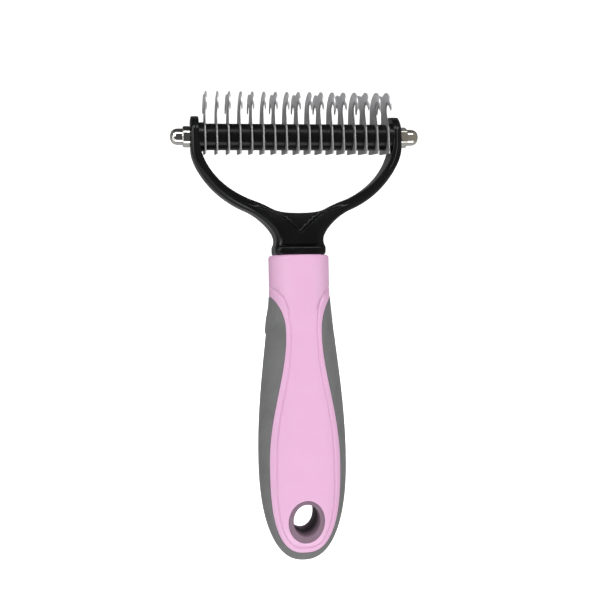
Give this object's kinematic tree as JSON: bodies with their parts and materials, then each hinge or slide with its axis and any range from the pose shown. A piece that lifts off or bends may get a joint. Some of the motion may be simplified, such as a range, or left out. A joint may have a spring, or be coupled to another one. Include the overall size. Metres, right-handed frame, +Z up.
{
  "type": "dematting comb",
  "caption": "Two-sided dematting comb: hooked steel blades and round spacers clamped on a rod across a forked yoke, on a hard handle with a soft grip and a hanging hole.",
  "frame": {"origin": "centre of the hanging hole, on the handle's middle plane", "axes": "+Z up the handle towards the blades, +X along the blade rod, -Y towards the front, the side on which every blade has a hook"},
  "size_m": [0.091, 0.023, 0.1704],
  "materials": {
    "hard_handle": "satin",
    "soft_grip": "matte",
    "hole_liner": "matte",
    "yoke_plastic": "satin",
    "spacer_plastic": "satin",
    "blade_steel": "satin",
    "rod_steel": "satin",
    "plated_nut": "polished"
  },
  "bodies": {
    "frame": {"handle_body": "hard_handle", "soft_grip": "soft_grip", "hang_hole_liner": "hole_liner", "yoke": "yoke_plastic", "blade_01": "blade_steel", "blade_02": "blade_steel", "blade_03": "blade_steel", "blade_04": "blade_steel", "blade_05": "blade_steel", "blade_06": "blade_steel", "blade_07": "blade_steel", "blade_08": "blade_steel", "blade_09": "blade_steel", "blade_10": "blade_steel", "blade_11": "blade_steel", "blade_12": "blade_steel", "blade_13": "blade_steel", "blade_14": "blade_steel", "blade_15": "blade_steel", "blade_16": "blade_steel", "blade_17": "blade_steel", "spacer_01": "spacer_plastic", "spacer_02": "spacer_plastic", "spacer_03": "spacer_plastic", "spacer_04": "spacer_plastic", "spacer_05": "spacer_plastic", "spacer_06": "spacer_plastic", "spacer_07": "spacer_plastic", "spacer_08": "spacer_plastic", "spacer_09": "spacer_plastic", "spacer_10": "spacer_plastic", "spacer_11": "spacer_plastic", "spacer_12": "spacer_plastic", "spacer_13": "spacer_plastic", "spacer_14": "spacer_plastic", "spacer_15": "spacer_plastic", "spacer_16": "spacer_plastic"},
    "rod": {"threaded_rod": "rod_steel", "left_cap_nut": "plated_nut"},
    "right_nut": {"right_cap_nut": "plated_nut"}
  },
  "joints": [
    {"name": "rod_draw_out", "type": "slide", "parent": "frame", "child": "rod", "axis": [-1, 0, 0], "range_m": [0, 0.0049]},
    {"name": "right_nut_turn", "type": "hinge", "parent": "frame", "child": "right_nut", "pos_m": [0.0383, 0, 0.1388], "axis": [1, 0, 0], "range_deg": [0, 2520]}
  ],
  "couplings": [
    {"joint": "right_nut_turn", "follows": "rod_draw_out", "rad_per_m": 8976}
  ]
}
